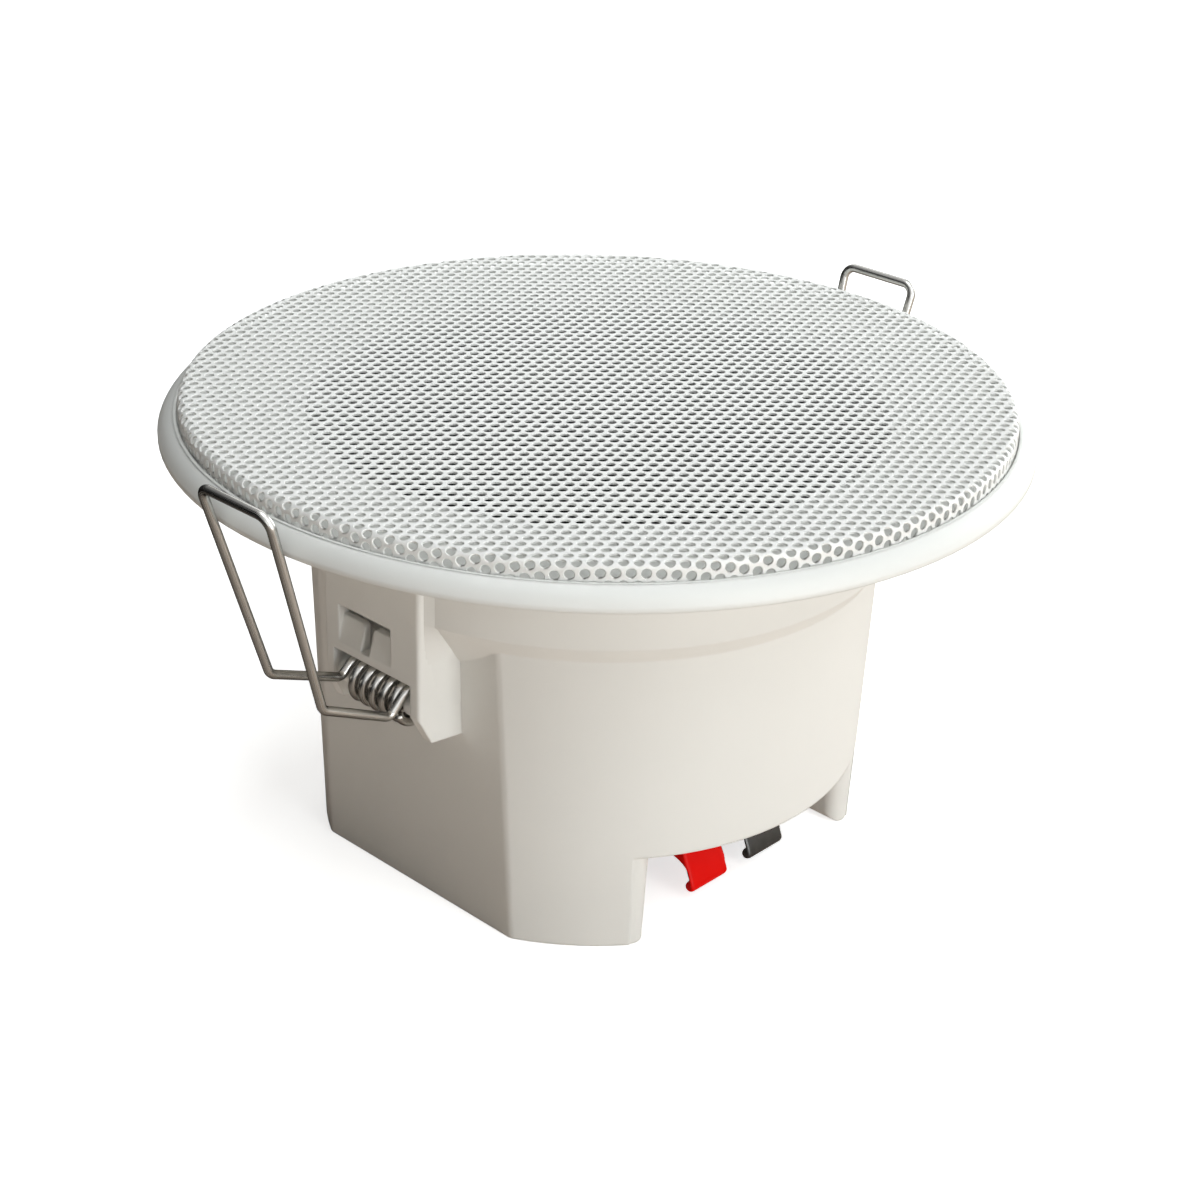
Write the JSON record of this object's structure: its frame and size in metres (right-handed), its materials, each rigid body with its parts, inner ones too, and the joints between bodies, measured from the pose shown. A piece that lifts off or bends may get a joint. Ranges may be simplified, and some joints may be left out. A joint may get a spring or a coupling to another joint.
{
  "type": "in-ceiling speaker",
  "caption": "Round ceiling loudspeaker with a perforated grille, moulded back housing, sprung wire clips that hold it in a cut-out, and press-lever wire terminals.",
  "frame": {"origin": "centre of the bounding box on the plane that the skirt of the housing stands on", "axes": "+Z along the driver's axis towards the grille, X through the two spring clips, -Y towards the terminal and its cable notch"},
  "size_m": [0.1592, 0.15, 0.0851],
  "materials": {
    "housing_abs": "fine moulded matt",
    "grille_paint": "matt powder coat",
    "basket_steel": "black paint",
    "gasket_foam": "matt",
    "surround_rubber": "matt",
    "cone_paper": "pressed paper",
    "cap_paper": "pressed paper",
    "spider_cloth": "resin cloth",
    "former_aluminium": "plain",
    "coil_copper": "enamelled",
    "plate_steel": "zinc plated",
    "magnet_ferrite": "sintered",
    "board_fibre": "plain",
    "tag_brass": "tinned",
    "screw_steel": "zinc plated",
    "terminal_plastic": "moulded",
    "red_plastic": "moulded",
    "black_plastic": "moulded",
    "contact_steel": "tinned",
    "spring_steel": "bright drawn wire"
  },
  "bodies": {
    "main": {"housing": "housing_abs", "grille": "grille_paint", "basket": "basket_steel", "gasket": "gasket_foam", "surround": "surround_rubber", "spider": "spider_cloth", "top_plate": "plate_steel", "magnet": "magnet_ferrite", "yoke": "plate_steel", "tag_board": "board_fibre", "solder_tags": "tag_brass", "driver_screws": "screw_steel", "terminal_base": "terminal_plastic", "red_contact": "contact_steel", "black_contact": "contact_steel", "terminal_screws": "screw_steel"},
    "moving_cone": {"cone": "cone_paper", "dust_cap": "cap_paper", "voice_coil_former": "former_aluminium", "voice_coil": "coil_copper"},
    "left_spring": {"left_clip": "spring_steel"},
    "right_spring": {"right_clip": "spring_steel"},
    "red_press": {"red_lever": "red_plastic"},
    "black_press": {"black_lever": "black_plastic"}
  },
  "joints": [
    {"name": "left_clip_fold", "type": "hinge", "parent": "main", "child": "left_spring", "pos_m": [-0.04938, 0, 0.0418], "axis": [0, -1, 0], "range_deg": [0, 100], "stiffness_Nm_per_rad": 0.05, "springref_deg": -20.05},
    {"name": "right_clip_fold", "type": "hinge", "parent": "main", "child": "right_spring", "pos_m": [0.04938, 0, 0.0418], "axis": [0, 1, 0], "range_deg": [0, 100], "stiffness_Nm_per_rad": 0.05, "springref_deg": -20.05},
    {"name": "red_lever_press", "type": "hinge", "parent": "main", "child": "red_press", "pos_m": [-0.0076, -0.0255, 0.0108], "axis": [-1, 0, 0], "range_deg": [0, 18], "stiffness_Nm_per_rad": 0.002, "springref_deg": -17.19},
    {"name": "black_lever_press", "type": "hinge", "parent": "main", "child": "black_press", "pos_m": [0.0076, -0.0255, 0.0108], "axis": [-1, 0, 0], "range_deg": [0, 18], "stiffness_Nm_per_rad": 0.002, "springref_deg": -17.19},
    {"name": "cone_travel", "type": "slide", "parent": "main", "child": "moving_cone", "axis": [0, 0, 1], "range_m": [-0.0015, 0.0015], "stiffness_N_per_m": 1000, "deforming": ["surround", "spider"]}
  ]
}
